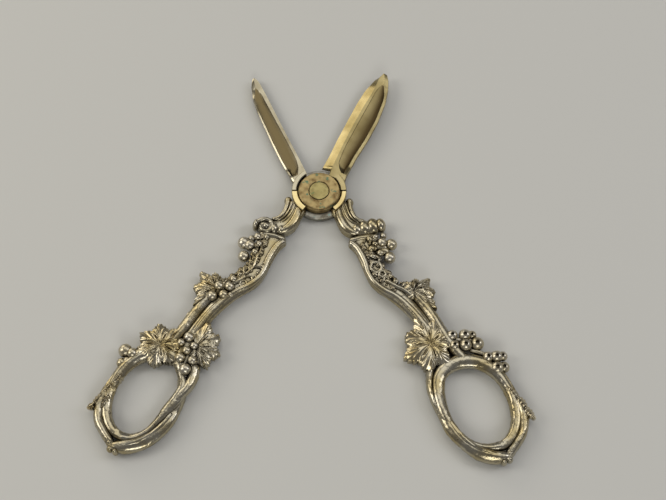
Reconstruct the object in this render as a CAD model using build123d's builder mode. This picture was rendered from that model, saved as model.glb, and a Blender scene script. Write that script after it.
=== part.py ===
from build123d import *
import math
import os

# Grape scissors: two short shear blades on a round half-lap joint, with cast vine handles.
# Millimetres and degrees. The pivot axis is Z and passes through the origin, and the whole
# object lies on Z = 0 with its blades towards +Y, open as far as its shoulders let it.

# ---- how far it stands open
half_open = 26.2  # each blade from the centre line, at rest
left_splay = 3.2  # the left handle is set this much wider than its own blade
close_travel = 52.0  # how far the upper half swings to shut the blades
shut_margin = 4.0  # left between the blades' shoulders when shut

# ---- the joint
boss_height = 6.0
lap_plane = boss_height / 2
lap_gap = 0.05  # running gap between the two lapped discs
boss_radius = 9.85
shoulder_width = 1.7
shoulder_inner = boss_radius - shoulder_width
disc_clearance = 0.75  # the upper half's disc turns inside the lower half's shoulders
disc_radius = shoulder_inner - disc_clearance
stop_gap = 0.4  # slot between facing shoulders at rest
swing_clearance = 0.3  # between faces of the two halves that sweep past each other
pin_radius = 2.6
pin_head_radius = pin_radius + 0.95
pin_head_height = 1.2
pin_clearance = 0.06
groove_width = 0.4
groove_depth = 0.8
boss_easing = 0.7

# ---- the blades
blade_thickness = 1.8
blade_relief = 0.05  # each blade stands this far off the lap plane
edge_thickness = 0.3
ground_start = 10.6  # the ground faces begin this far from the pivot

# ---- the handles
scroll_height = 5.2
stem_height = 4.6
strand_height = 4.2
branch_height = 4.6
finger_hole_width = 19.5
finger_hole_length = 27.0
finger_hole_out = 12.8  # the hole's centre, out from the handle's own axis
finger_hole_down = 94.5  # and down from the pivot
ring_width = 3.0
middle_leaf_span = (1.4, 5.7)  # lowest and highest points of the leaves
knuckle_leaf_span = (0.3, 6.2)
inner_leaf_span = (1.0, 5.6)
loop_leaf_span = (1.4, 4.6)
casting_easing = 0.9
strand_easing = 0.6
bunch_span = (0.8, 5.2)  # bunches that hang beside the handle
face_bunch_span = (0.1, 7.0)  # bunches that lie on both its faces
grape_crown = 0.7  # share of a grape's radius left at its top and bottom
grape_step = 0.6
bunch_pad_inset = 1.1

# Where the shoulders start and stop, as angles in the open joint. The lower half's shoulders
# flank its blade and its handle, and so do the upper half's; they meet at the two slots.
upper_blade_shoulder = (0.0, 62.0)
lower_blade_shoulder = (upper_blade_shoulder[1] + close_travel + shut_margin, 180.0)
lower_handle_shoulder = (-53.0, 0.0)
upper_handle_shoulder = (180.0, 233.0)

lower_plane = Plane.XY.rotated((0, 0, half_open))
upper_plane = Plane.XY.rotated((0, 0, -half_open))
left_handle_plane = Plane.XY.rotated((0, 0, -half_open - left_splay))

# ---- outlines, in each half's own frame: blade along +Y, handle along -Y
lower_blade_outer = [
    (-5.0, 4.0), (-6.6, 9.0), (-6.7, 19.0), (-6.0, 35.4), (-4.8, 47.4), (-3.0, 52.4), (-0.8, 56.2),
]
lower_blade_inner = [(0.2, 55.9), (0.6, 53.6), (0.6, 47.0), (0.0, 27.7), (-0.3, 9.9), (-0.3, 4.0)]
upper_blade_outer = [
    (5.0, 4.0), (6.4, 9.0), (6.1, 18.8), (6.6, 29.0), (6.4, 37.0), (5.5, 45.0), (3.7, 51.0),
    (1.4, 55.7),
]
upper_blade_inner = [
    (-0.5, 56.8), (-1.5, 55.8), (-2.8, 52.8), (-4.0, 46.8), (-4.3, 38.0), (-4.0, 21.8),
    (-3.6, 12.0), (-3.6, 4.0),
]

# Handle outlines have +X away from the other handle; the left handle mirrors them.
scroll_outer = [
    (6.2, -6.2), (8.5, -8.2), (7.6, -12.2), (8.2, -15.7), (11.4, -18.0), (14.2, -19.4),
    (14.7, -21.6), (13.4, -23.9),
]
scroll_inner = [(0.9, -22.7), (0.8, -20.6), (0.5, -18.4), (0.2, -14.8), (0.3, -11.6), (0.8, -8.6)]
stem_outer = [
    (12.0, -22.7), (9.4, -27.5), (8.0, -34.0), (8.4, -39.8), (10.2, -46.5), (11.6, -55.0),
    (13.0, -62.0), (13.6, -70.0), (13.8, -79.0),
]
stem_inner = [
    (4.0, -79.5), (7.0, -71.0), (8.1, -62.0), (5.8, -54.0), (1.4, -44.0), (0.2, -37.5),
    (1.0, -30.8), (-0.2, -22.5),
]
strand_outer = [
    (8.4, -44.5), (12.6, -48.5), (14.9, -54.6), (15.8, -60.0), (16.4, -67.0), (17.6, -78.5),
]
strand_inner = [(11.5, -79.0), (11.0, -62.0), (9.0, -52.0)]
branch_outer = [
    (5.2, -75.5), (1.6, -80.0), (-0.2, -86.2), (-1.7, -93.0), (-2.0, -99.0), (0.4, -108.0),
    (4.6, -113.2), (9.6, -115.9),
]
branch_inner = [
    (13.0, -114.0), (12.0, -109.5), (6.0, -106.5), (1.8, -100.0), (2.0, -91.0), (8.0, -80.0),
]
twig_outer = [
    (25.4, -93.5), (26.1, -99.5), (25.0, -106.4), (20.0, -111.0), (14.6, -113.4), (11.4, -115.8),
]
twig_inner = [(10.6, -109.8), (17.0, -108.6), (22.6, -103.5), (24.2, -94.0)]


def trace(outer, inner, side):
    """A face between two splines that run down one side of a piece and back up the other."""
    down = [(side * x, y) for x, y in outer]
    back = [(side * x, y) for x, y in inner]
    with BuildLine() as edge:
        Spline(*down)
        Line(down[-1], back[0])
        Spline(*back)
        Line(back[-1], down[0])
    make_face(edge.edges())


def ring_sector(inner, outer, span, mode=Mode.ADD):
    """A face between two radii and two angles about the pivot."""
    start, end = span
    with BuildLine() as edge:
        rim = CenterArc((0, 0), outer, start, end - start)
        bore = CenterArc((0, 0), inner, start, end - start)
        Line(rim @ 0, bore @ 0)
        Line(rim @ 1, bore @ 1)
    make_face(edge.edges(), mode=mode)


def local_span(span, turn):
    """Angles given in the open joint, seen from a half that stands turned by this much."""
    return (span[0] - turn, span[1] - turn)


def stop_trim(span, first, last):
    """Take half the slot off a shoulder where it faces the other half's."""
    trim = math.degrees(stop_gap / 2 / boss_radius)
    return (span[0] + trim * first, span[1] - trim * last)


def finish(piece, name):
    """Label a finished piece and write it."""
    piece.part.label = name
    export_step(piece.part, "parts/" + name + ".step")
    return piece.part


os.makedirs("parts", exist_ok=True)

# ---- pivot pin: a flush head in the upper disc, a shank, and a flared foot in the lower disc
with BuildPart() as pivot_pin:
    with BuildSketch(Plane.XZ):
        with BuildLine():
            Polyline(
                (0, 0),
                (pin_head_radius, 0),
                (pin_radius, pin_head_height),
                (pin_radius, boss_height - pin_head_height),
                (pin_head_radius, boss_height - pin_head_height),
                (pin_head_radius, boss_height),
                (0, boss_height),
                close=True,
            )
        make_face()
    revolve(axis=Axis.Z)
finish(pivot_pin, "pivot_pin")

# ---- lower half: left blade, the full-width lower disc and the two shoulders that rise from it
with BuildPart() as lower_blade:
    with BuildSketch(lower_plane):
        Circle(boss_radius)
    extrude(amount=lap_plane)
    chamfer(faces().sort_by(Axis.Z)[0].edges(), boss_easing)
    with BuildSketch(lower_plane.offset(lap_plane)):
        for shoulder in (lower_blade_shoulder, lower_handle_shoulder):
            ring_sector(shoulder_inner, boss_radius, local_span(stop_trim(shoulder, 0, 1), half_open))
    extrude(amount=lap_plane)
    with BuildSketch(lower_plane.offset(lap_plane - blade_relief - blade_thickness)):
        trace(lower_blade_outer, lower_blade_inner, 1)
    extrude(amount=blade_thickness)
    # the edge is ground from below, towards the lap plane
    with BuildSketch(Plane(lower_plane.location * Location((0, ground_start, 0), (90, 0, 0)))):
        with BuildLine():
            Polyline((-2.2, -1), (-2.2, lap_plane - blade_relief - blade_thickness),
                     (0.6, lap_plane - edge_thickness), (2.0, lap_plane), (2.0, -1), close=True)
        make_face()
    extrude(amount=-60, mode=Mode.SUBTRACT)
    with BuildSketch():
        Circle(pin_radius)
    extrude(amount=lap_plane, mode=Mode.SUBTRACT)
    add(pivot_pin.part, mode=Mode.SUBTRACT)
finish(lower_blade, "lower_blade")

# ---- upper half: right blade, the disc that laps over the lower one, and its shoulders
with BuildPart() as upper_blade:
    with BuildSketch(upper_plane.offset(lap_plane + blade_relief)):
        trace(upper_blade_outer, upper_blade_inner, 1)
        past_shoulder = local_span((upper_blade_shoulder[1], upper_blade_shoulder[1] + 90), -half_open)
        ring_sector(0.5, boss_radius + swing_clearance, past_shoulder, mode=Mode.SUBTRACT)
        in_shoulder = local_span((-30, upper_blade_shoulder[1]), -half_open)
        ring_sector(0.5, boss_radius, in_shoulder, mode=Mode.SUBTRACT)
    extrude(amount=blade_thickness)
    with BuildSketch(upper_plane.offset(lap_plane + lap_gap)):
        Circle(disc_radius)
        for shoulder in (upper_blade_shoulder, upper_handle_shoulder):
            ring_sector(disc_radius - 1, boss_radius, local_span(stop_trim(shoulder, 1, 0), -half_open))
    extrude(amount=lap_plane - lap_gap)
    # a fine groove sets the disc off from the shoulders
    with BuildSketch(upper_plane.offset(boss_height)):
        Circle(disc_radius + groove_width)
        Circle(disc_radius, mode=Mode.SUBTRACT)
    extrude(amount=-groove_depth, mode=Mode.SUBTRACT)
    # the cutting edge slopes down from a ridge, and the back edge is eased
    with BuildSketch(Plane(upper_plane.location * Location((0, ground_start, 0), (90, 0, 0)))):
        with BuildLine():
            Polyline((-1.1, boss_height), (-1.1, lap_plane + blade_thickness), (-4.3, lap_plane + edge_thickness),
                     (-6.0, lap_plane - 0.5), (-6.0, boss_height), close=True)
        make_face()
        with BuildLine():
            Polyline((4.6, boss_height), (4.6, lap_plane + blade_thickness + blade_relief),
                     (7.0, lap_plane + 0.8), (7.0, boss_height), close=True)
        make_face()
    extrude(amount=-60, mode=Mode.SUBTRACT)
    with BuildSketch():
        Circle(pin_radius + pin_clearance)
    extrude(amount=boss_height, mode=Mode.SUBTRACT)
    with BuildSketch(Plane.XY.offset(boss_height - pin_head_height - lap_gap)):
        Circle(pin_head_radius + pin_clearance)
    extrude(amount=boss_height, mode=Mode.SUBTRACT)
finish(upper_blade, "upper_blade")


def casting(name, plane, side, outline, height, easing, cuts):
    """A cast piece raised evenly about the lap plane, its long edges eased, cut back to what it joins."""
    with BuildPart() as piece:
        with BuildSketch(plane.offset(lap_plane - height / 2)):
            trace(outline[0], outline[1], side)
        extrude(amount=height)
        if easing:
            chamfer(faces().filter_by(Axis.Z).edges(), easing)
        for cut in cuts:
            add(cut, mode=Mode.SUBTRACT)
    return finish(piece, name)


def root_scroll(name, plane, side, cuts):
    """The scroll that grows from the joint's shoulder; below the upper disc it clears the lower one."""
    with BuildPart() as piece:
        with BuildSketch(plane.offset(lap_plane - scroll_height / 2)):
            trace(scroll_outer, scroll_inner, side)
        extrude(amount=scroll_height)
        chamfer(faces().filter_by(Axis.Z).edges(), casting_easing)
        with BuildSketch():
            Circle(boss_radius)
        extrude(amount=boss_height, mode=Mode.SUBTRACT)
        if side < 0:
            with BuildSketch():
                Circle(boss_radius + swing_clearance)
            extrude(amount=lap_plane + blade_relief, mode=Mode.SUBTRACT)
        for cut in cuts:
            add(cut, mode=Mode.SUBTRACT)
    return finish(piece, name)


def finger_ring(name, plane, side):
    """The closed vine strand that runs round the finger hole."""
    with BuildPart() as piece:
        with BuildSketch(plane.offset(lap_plane - strand_height / 2)):
            with Locations((side * finger_hole_out, -finger_hole_down)):
                Ellipse(finger_hole_width / 2 + ring_width, finger_hole_length / 2 + ring_width)
                Ellipse(finger_hole_width / 2, finger_hole_length / 2, mode=Mode.SUBTRACT)
        extrude(amount=strand_height)
        chamfer(faces().filter_by(Axis.Z).edges(), strand_easing)
    return finish(piece, name)


def leaf_outline(stalk, tips, notch, side):
    """A lobed leaf: each lobe's tip joins the next through a notch drawn back towards the stalk."""
    points = []
    for tip, following in zip(tips, tips[1:] + tips[:1]):
        points.append((side * tip[0], tip[1]))
        middle = ((tip[0] + following[0]) / 2, (tip[1] + following[1]) / 2)
        points.append((side * (middle[0] + (stalk[0] - middle[0]) * notch),
                       middle[1] + (stalk[1] - middle[1]) * notch))
    return points


def leaf(name, plane, side, stalk, tips, span, notch, cuts):
    """A cast vine leaf, drawn by its lobes' tips around its stalk."""
    with BuildPart() as piece:
        with BuildSketch(plane.offset(span[0])):
            with BuildLine():
                Polyline(*leaf_outline(stalk, tips, notch, side), close=True)
            make_face()
        extrude(amount=span[1] - span[0])
        for cut in cuts:
            add(cut, mode=Mode.SUBTRACT)
    return finish(piece, name)


def bunch(name, plane, side, grapes, span, cuts):
    """A bunch of grapes, each stepped in towards its top and bottom, on a pad that holds them together."""
    with BuildPart() as piece:
        for share, inset in ((1.0, 0.0), (grape_crown, grape_step)):
            with BuildSketch(plane.offset(span[0] + grape_step - inset)):
                for x, y, radius in grapes:
                    with Locations((side * x, y)):
                        Circle(radius * share)
            extrude(amount=span[1] - span[0] - 2 * (grape_step - inset))
        with BuildSketch(plane.offset(span[0] + bunch_pad_inset)):
            for x, y, radius in grapes:
                with Locations((side * x, y)):
                    Circle(radius * grape_crown)
            make_hull()
        extrude(amount=span[1] - span[0] - 2 * bunch_pad_inset)
        for cut in cuts:
            add(cut, mode=Mode.SUBTRACT)
    return finish(piece, name)


def handle_core(hand, plane, side, blade):
    """The vine that carries the rest: root scroll, stem, finger ring and the strands beside them."""
    ring = finger_ring(hand + "_finger_ring", plane, side)
    scroll = root_scroll(hand + "_root_scroll", plane, side, [blade])
    stem = casting(hand + "_vine_stem", plane, side, (stem_outer, stem_inner), stem_height, casting_easing,
                   [ring, scroll])
    strand = casting(hand + "_outer_strand", plane, side, (strand_outer, strand_inner), strand_height,
                     strand_easing, [ring, stem])
    branch = casting(hand + "_loop_branch", plane, side, (branch_outer, branch_inner), branch_height, 0,
                     [ring, stem, strand])
    twig = casting(hand + "_loop_twig", plane, side, (twig_outer, twig_inner), strand_height, 0,
                   [ring, branch])
    return ring, scroll, stem, strand, branch, twig


# ---- right handle, on the lower half
ring, scroll, stem, strand, branch, twig = handle_core("right", lower_plane, 1, lower_blade.part)
middle_leaf = leaf(
    "right_middle_leaf", lower_plane, 1, (12.4, -49.2),
    [(10.4, -44.4), (13.6, -46.4), (19.8, -46.9), (19.0, -51.8), (17.6, -56.4), (15.6, -58.6), (11.0, -52.0)],
    middle_leaf_span, 0.12, [stem, strand])
knuckle_leaf = leaf(
    "right_knuckle_leaf", lower_plane, 1, (8.6, -68.9),
    [(8.4, -57.8), (12.8, -60.6), (14.4, -66.0), (13.2, -72.4), (9.6, -77.8), (4.6, -77.6), (1.0, -73.6),
     (-2.0, -68.6), (1.8, -63.6), (4.6, -60.4)],
    knuckle_leaf_span, 0.16, [ring, stem, strand, branch])
leaf("right_loop_leaf", lower_plane, 1, (25.6, -96.0),
     [(24.6, -94.0), (26.8, -98.0), (28.4, -103.6), (27.2, -108.2), (25.0, -105.0), (24.4, -99.0)],
     loop_leaf_span, 0.1, [ring, twig])
bunch("right_upper_grapes", lower_plane, 1,
      [(14.1, -29.7, 2.1), (10.9, -34.1, 2.2), (11.1, -28.6, 1.9), (9.0, -31.3, 1.7), (9.8, -25.8, 1.7)],
      bunch_span, [stem, scroll])
bunch("right_knuckle_grapes", lower_plane, 1,
      [(16.6, -69.2, 1.7), (20.5, -71.0, 1.9), (15.6, -72.7, 1.6), (19.0, -74.3, 1.9), (22.9, -75.4, 2.2),
       (22.9, -71.8, 1.3)],
      bunch_span, [strand, knuckle_leaf])
bunch("right_outer_grapes", lower_plane, 1,
      [(23.8, -81.3, 1.7), (26.4, -82.4, 1.9), (28.5, -83.0, 1.6), (24.6, -86.0, 2.2), (27.0, -86.6, 1.7)],
      bunch_span, [ring])

# ---- left handle, on the upper half
ring, scroll, stem, strand, branch, twig = handle_core("left", left_handle_plane, -1, upper_blade.part)
middle_leaf = leaf(
    "left_middle_leaf", left_handle_plane, -1, (11.7, -50.1),
    [(10.4, -44.4), (15.7, -45.8), (20.8, -47.0), (19.8, -52.0), (17.4, -58.0), (15.2, -59.4), (11.0, -52.0)],
    middle_leaf_span, 0.12, [stem, strand])
knuckle_leaf = leaf(
    "left_knuckle_leaf", left_handle_plane, -1, (17.6, -76.9),
    [(15.5, -69.0), (21.9, -71.0), (25.6, -75.6), (26.0, -80.4), (22.6, -84.2), (17.6, -84.4), (12.4, -82.0),
     (10.8, -77.4), (12.6, -71.6)],
    knuckle_leaf_span, 0.18, [ring, stem, strand])
inner_leaf = leaf(
    "left_inner_leaf", left_handle_plane, -1, (6.6, -72.0),
    [(7.4, -61.8), (3.5, -63.4), (0.6, -66.0), (-1.2, -69.6), (-0.4, -73.4), (2.0, -77.6), (6.0, -76.4),
     (8.6, -71.0)],
    inner_leaf_span, 0.14, [ring, stem, branch])
leaf("left_loop_leaf", left_handle_plane, -1, (24.6, -98.0),
     [(24.0, -94.0), (26.0, -99.0), (27.8, -103.6), (27.4, -108.6), (24.6, -106.0), (23.8, -100.0)],
     loop_leaf_span, 0.1, [ring, twig])
bunch("left_upper_grapes", left_handle_plane, -1,
      [(13.2, -30.5, 2.3), (10.3, -30.1, 1.9), (10.6, -34.8, 2.2), (9.9, -26.2, 1.7), (8.8, -32.2, 1.5)],
      bunch_span, [stem, scroll])
bunch("left_middle_grapes", left_handle_plane, -1,
      [(11.9, -49.0, 1.8), (12.0, -53.2, 1.8), (8.9, -51.0, 1.7), (8.6, -47.4, 1.8), (8.8, -44.4, 1.4)],
      face_bunch_span, [stem, strand, middle_leaf])
bunch("left_knuckle_grapes", left_handle_plane, -1,
      [(10.7, -70.0, 1.9), (12.0, -73.0, 1.4), (8.8, -74.5, 1.5), (7.5, -71.8, 1.5), (9.4, -77.6, 1.8),
       (5.4, -76.5, 1.7), (5.8, -80.0, 2.2)],
      face_bunch_span, [ring, stem, strand, branch, knuckle_leaf, inner_leaf])
bunch("left_outer_grapes", left_handle_plane, -1,
      [(27.4, -84.2, 2.4), (24.9, -84.6, 1.9), (26.1, -88.4, 1.9)],
      bunch_span, [ring, knuckle_leaf])
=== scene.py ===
# %% [markdown]
# Grape scissors, opened and laid on their back.
# The joint and the two blades are turned and ground steel. The handles are silver-plated castings of a
# grapevine: scrolls, leaves, bunches and two finger loops of twisted stems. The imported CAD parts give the
# frame, and each is replaced by a finer piece in the same place, so the halves still turn about the pivot.

# Every cell below makes one kind of finish or piece. Most meshes start as a ring, a row of points or a ball
# made by a bmesh operator, because such a mesh stays even and closed while it is shaped.

# %% Load the frame
import math

import bmesh
import bpy
from mathutils import Matrix, Vector, noise


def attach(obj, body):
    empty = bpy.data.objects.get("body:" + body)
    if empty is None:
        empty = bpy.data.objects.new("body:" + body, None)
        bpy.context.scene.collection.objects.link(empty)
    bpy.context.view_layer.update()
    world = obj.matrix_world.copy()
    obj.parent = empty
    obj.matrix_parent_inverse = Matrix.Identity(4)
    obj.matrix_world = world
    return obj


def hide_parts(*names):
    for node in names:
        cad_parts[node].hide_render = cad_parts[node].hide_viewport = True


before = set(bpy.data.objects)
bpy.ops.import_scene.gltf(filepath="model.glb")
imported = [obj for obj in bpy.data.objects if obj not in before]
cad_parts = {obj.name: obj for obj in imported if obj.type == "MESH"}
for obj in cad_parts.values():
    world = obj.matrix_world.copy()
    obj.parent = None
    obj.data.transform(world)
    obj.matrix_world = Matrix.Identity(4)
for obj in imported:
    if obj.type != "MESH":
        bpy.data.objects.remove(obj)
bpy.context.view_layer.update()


# %% [markdown]
# Sizes are worked out in millimetres, in the frame of one handle: X away from the other handle, -Y down
# towards the finger loop, Z up from the table. One matrix then turns, mirrors and scales a finished mesh
# into the shared frame, so both handles are made by the same code.

# %% Frames and sizes
MM = 0.001
HALF_OPEN = math.radians(26.2)
LEFT_SPLAY = math.radians(3.2)
MID = 3.0  # height of the plane where the two halves lap
TOP = 6.0
UP = Vector((0, 0, 1))

TO_METRES = Matrix.Scale(MM, 4)
MIRROR_X = Matrix.Scale(-1, 4, Vector((1, 0, 0)))
RIGHT = LOWER_BLADE = TO_METRES @ Matrix.Rotation(HALF_OPEN, 4, "Z")
LEFT = TO_METRES @ Matrix.Rotation(-HALF_OPEN - LEFT_SPLAY, 4, "Z") @ MIRROR_X
UPPER_BLADE = TO_METRES @ Matrix.Rotation(-HALF_OPEN, 4, "Z")

HANDS = {"right": (RIGHT, "lower_half"), "left": (LEFT, "upper_half")}

# %% [markdown]
# Every finish starts from colours given as the hex values a paint program shows. Shaders work in linear
# light, so one function converts them. Another adds a node, sets its values and links its inputs.

# %% Colours and nodes
def linear(code):
    channels = [int(code[i : i + 2], 16) / 255 for i in (1, 3, 5)]
    return [c / 12.92 if c <= 0.04045 else ((c + 0.055) / 1.055) ** 2.4 for c in channels] + [1.0]


def add_node(material, kind, links=None, values=None, **settings):
    """Adds a node. links joins its inputs to other outputs, values sets inputs, settings its options."""
    node = material.node_tree.nodes.new("ShaderNode" + kind)
    for key, value in settings.items():
        setattr(node, key, value)
    for key, value in (values or {}).items():
        node.inputs[key].default_value = value
    for key, source in (links or {}).items():
        material.node_tree.links.new(source, node.inputs[key])
    return node


def new_material(name):
    material = bpy.data.materials.new(name)
    material.use_nodes = True
    material.node_tree.nodes.clear()
    return material


def per_mm(size_mm):
    """Scale that makes a pattern repeat about once in this many millimetres on Object coordinates."""
    return 1 / (size_mm * MM)


print("scale of a 1 mm pattern:", per_mm(1.0))


# %% [markdown]
# Old silver plate is a bright metal with a warm, slightly yellow tint. Handling keeps the high spots
# polished, and tarnish stays in the hollows. Ambient occlusion finds the hollows and the creases between
# touching pieces and makes them darker, browner and rougher: tarnish there, together with painted shade.
# One noise shifts the tint from place to place, and another gives the casting its skin, whose pits hold
# tarnish too. The real skin is too fine to show, so it is drawn about a millimetre coarse.

# %% Plated casting finish
PATCH_MM = 7.0  # the tint of the plate changes over about this distance
WORN_OFF = 0.55  # roughness where the tarnish lies


def ramp(material, source, low, high):
    """Stretches the part of a value between low and high to 0..1."""
    return add_node(material, "MapRange", {"Value": source}, {"From Min": low, "From Max": high}).outputs[0]


def mix_colour(material, factor, first, second):
    node = add_node(material, "Mix", data_type="RGBA")
    for index, value in ((0, factor), (6, first), (7, second)):
        if isinstance(value, (list, float)):
            node.inputs[index].default_value = value
        else:
            material.node_tree.links.new(value, node.inputs[index])
    return node.outputs[2]


def pattern(material, place, size_mm, detail, rough=0.5):
    """A noise whose pattern is about size_mm across."""
    values = {"Scale": per_mm(size_mm), "Detail": detail, "Roughness": rough}
    return add_node(material, "TexNoise", {"Vector": place}, values).outputs[0]


def metal(material, colour, worn, rough, height, relief, metallic=1.0):
    """Closes a metal's nodes. worn moves its roughness through the pair rough, and height raises it by
    relief, which is a strength and a depth in millimetres."""
    gloss = add_node(material, "MapRange", {"Value": worn}, {"To Min": rough[0], "To Max": rough[1]})
    bump = add_node(material, "Bump", {"Height": height}, {"Strength": relief[0], "Distance": relief[1] * MM})
    shader = add_node(material, "BsdfPrincipled",
                      {"Base Color": colour, "Roughness": gloss.outputs[0], "Normal": bump.outputs[0]},
                      {"Metallic": metallic})
    add_node(material, "OutputMaterial", {"Surface": shader.outputs[0]})
    return material


def plated_finish(name, bright, warm, tarnish_and_shade, polish=0.24, skin_mm=1.1, skin_depth_mm=0.16, shade_and_tarnish_mm=1.6):
    material = new_material(name)
    place = add_node(material, "TexCoord").outputs["Object"]
    patches = pattern(material, place, PATCH_MM, 3.0)
    skin = pattern(material, place, skin_mm, 4.0)
    # Ambient occlusion darkens hollows and the creases where pieces touch: tarnish, together with painted
    # shade.
    hollow = add_node(material, "AmbientOcclusion", values={"Distance": shade_and_tarnish_mm * MM}, samples=6)
    pits = ramp(material, skin, 0.22, 0.40)
    clear = ramp(material, hollow.outputs["AO"], 0.30, 0.90)
    untarnished_unshaded = add_node(material, "Math", {0: pits, 1: clear}, operation="MULTIPLY").outputs[0]
    tint = mix_colour(material, ramp(material, patches, 0.38, 0.66), linear(bright), linear(warm))
    colour = mix_colour(material, untarnished_unshaded, linear(tarnish_and_shade), tint)
    return metal(material, colour, untarnished_unshaded, (WORN_OFF, polish), skin, (0.5, skin_depth_mm))


vine_plate = plated_finish("vine_plate", "#B6B09D", "#A99B74", "#261F14")
leaf_plate = plated_finish("leaf_plate", "#C6BEA6", "#B9A87A", "#2A2118", skin_depth_mm=0.10, shade_and_tarnish_mm=1.4)
grain_plate = plated_finish("grain_plate", "#98907C", "#8C8060", "#221B12", shade_and_tarnish_mm=2.2)
leaflet_plate = plated_finish("leaflet_plate", "#CEC6AE", "#C0B08A", "#3A3022", skin_depth_mm=0.06,
                              shade_and_tarnish_mm=0.5)
grape_plate = plated_finish("grape_plate", "#CCC5B2", "#BBB090", "#2A231A", polish=0.32, skin_depth_mm=0.05,
                            shade_and_tarnish_mm=1.0)
for plate in (vine_plate, leaf_plate, grain_plate, leaflet_plate, grape_plate):
    print("plated finish:", plate.name)

# %% [markdown]
# The blades are ground, then rubbed along their length, so their scratches run one way and stretch the
# highlights. A noise squeezed across the blade and stretched along it gives such scratches. Each blade's mesh
# carries an attribute that marks the hollow ground down its face, which is painted darker and browner as
# painted shade. The joint's disc was filed flush with its pin, and has worn to a brassy brown with green
# specks of verdigris.

# %% Blade and joint finishes
SCRATCH_MM, SCRATCH_LONG_MM, CLOUD_MM = 0.35, 14.0, 9.0
WEAR_MM, SPECK_MM = 3.2, 2.1


def ground_steel(name, bright, stain, turn, rough=0.2, hollow="#6B5D3E"):
    """Steel whose scratches run along the blade, which lies turned by turn from the Y axis."""
    material = new_material(name)
    place = add_node(material, "TexCoord").outputs["Object"]
    turned = add_node(material, "Mapping", {"Vector": place}, {"Rotation": (0, 0, turn)})
    lines = add_node(material, "Mapping", {"Vector": turned.outputs[0]},
                     {"Scale": (per_mm(SCRATCH_MM), per_mm(SCRATCH_LONG_MM), per_mm(SCRATCH_MM))})
    scratches = add_node(material, "TexNoise", {"Vector": lines.outputs[0]}, {"Scale": 1.0, "Detail": 3.0})
    clouds = pattern(material, place, CLOUD_MM, 4.0)
    flat = mix_colour(material, ramp(material, clouds, 0.42, 0.72), linear(bright), linear(stain))
    # The hollow attribute paints the ground hollow in the darker, browner hollow colour: painted shade.
    hollow_shade = add_node(material, "Attribute", attribute_name="hollow").outputs["Fac"]
    colour = mix_colour(material, hollow_shade, flat, linear(hollow))
    marks = scratches.outputs[0]
    return metal(material, colour, marks, (rough - 0.08, rough + 0.12), marks, (0.25, 0.02))


def worn_joint(name, brass, brown, green, rough=0.42):
    material = new_material(name)
    place = add_node(material, "TexCoord").outputs["Object"]
    wear = pattern(material, place, WEAR_MM, 6.0, rough=0.65)
    specks = pattern(material, place, SPECK_MM, 3.0)
    # Ambient occlusion darkens the grooves and the corners where the parts meet to near black: painted shade.
    hollow = add_node(material, "AmbientOcclusion", values={"Distance": 1.0 * MM}, samples=6)
    base = mix_colour(material, ramp(material, wear, 0.45, 0.70), linear(brass), linear(brown))
    green_part = ramp(material, specks, 0.60, 0.68)
    spotted = mix_colour(material, green_part, base, linear(green))
    colour = mix_colour(material, ramp(material, hollow.outputs["AO"], 0.35, 0.8), linear("#2A2016"), spotted)
    return metal(material, colour, wear, (rough - 0.16, rough + 0.2), wear, (0.5, 0.05), metallic=0.85)


# The hollow colours are the painted shade of each blade's ground hollow.
lower_steel = ground_steel("lower_blade_steel", "#B2AB94", "#867C62", -HALF_OPEN, hollow="#6A5E42")
upper_steel = ground_steel("upper_blade_steel", "#A89B72", "#82754E", HALF_OPEN, hollow="#463A24")
# A paler, yellower copy of the blade steel for the shoulders beside the handles, which paints in their
# highlight.
shoulder_steel_painted_bright = ground_steel("shoulder_steel_painted_bright", "#DCCB96", "#BCA670", 0.0, rough=0.24)
disc_brass = worn_joint("disc_brass", "#B09C6C", "#644C2A", "#5F7A62")
pin_brass = worn_joint("pin_brass", "#A39764", "#7C6E44", "#6E7A50", rough=0.34)
rim_silver = worn_joint("rim_silver", "#A3A196", "#6B6452", "#7FA09A", rough=0.36)
for finish in (lower_steel, upper_steel, shoulder_steel_painted_bright, disc_brass, pin_brass, rim_silver):
    print("joint or blade finish:", finish.name)

# %% [markdown]
# Each piece is finished by the same few steps: put the mesh in its place, point its faces outwards, keep
# the creases sharp, give it its finish, tell the frame which body it rides on, and hide the CAD node it
# stands for.

# %% Finish a piece
def finish_piece(name, bm, place, body, material, nodes, crease=40):
    bmesh.ops.transform(bm, matrix=place, verts=bm.verts)
    bmesh.ops.recalc_face_normals(bm, faces=bm.faces)
    mesh = bpy.data.meshes.new(name)
    bm.to_mesh(mesh)
    bm.free()
    mesh.materials.append(material)
    mesh.shade_smooth()
    mesh.set_sharp_from_angle(angle=math.radians(crease))
    piece = bpy.data.objects.new(name, mesh)
    bpy.context.scene.collection.objects.link(piece)
    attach(piece, body)
    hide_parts(*nodes)
    print(f"{name}: {len(mesh.polygons)} faces")


# %% [markdown]
# A vine stem is a loft: rings stand square to a smooth path, each ring is bridged to the next, and the
# ends shrink to round tips. Noise that is long along the stem and short around it presses the bark in.

# %% Vine stems
def smooth_path(points, step, closed=False):
    """Points every step along a smooth curve through the given ones; widths and heights are carried along."""
    rows = [Vector(p) for p in points]
    count = len(rows)
    pieces = count if closed else count - 1
    path = []
    for i in range(pieces):
        a, b = rows[i], rows[(i + 1) % count]
        before = rows[i - 1] if closed or i else a + (a - b)
        after = rows[(i + 2) % count] if closed or i + 2 < count else b + (b - a)
        steps = max(2, math.ceil((b - a).length / step))
        for k in range(steps):
            t = k / steps
            path.append(0.5 * (2 * a + (b - before) * t + (2 * before - 5 * a + 4 * b - after) * t**2
                               + (3 * a - before - 3 * b + after) * t**3))
    if not closed:
        path.append(rows[-1])
    return path


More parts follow.
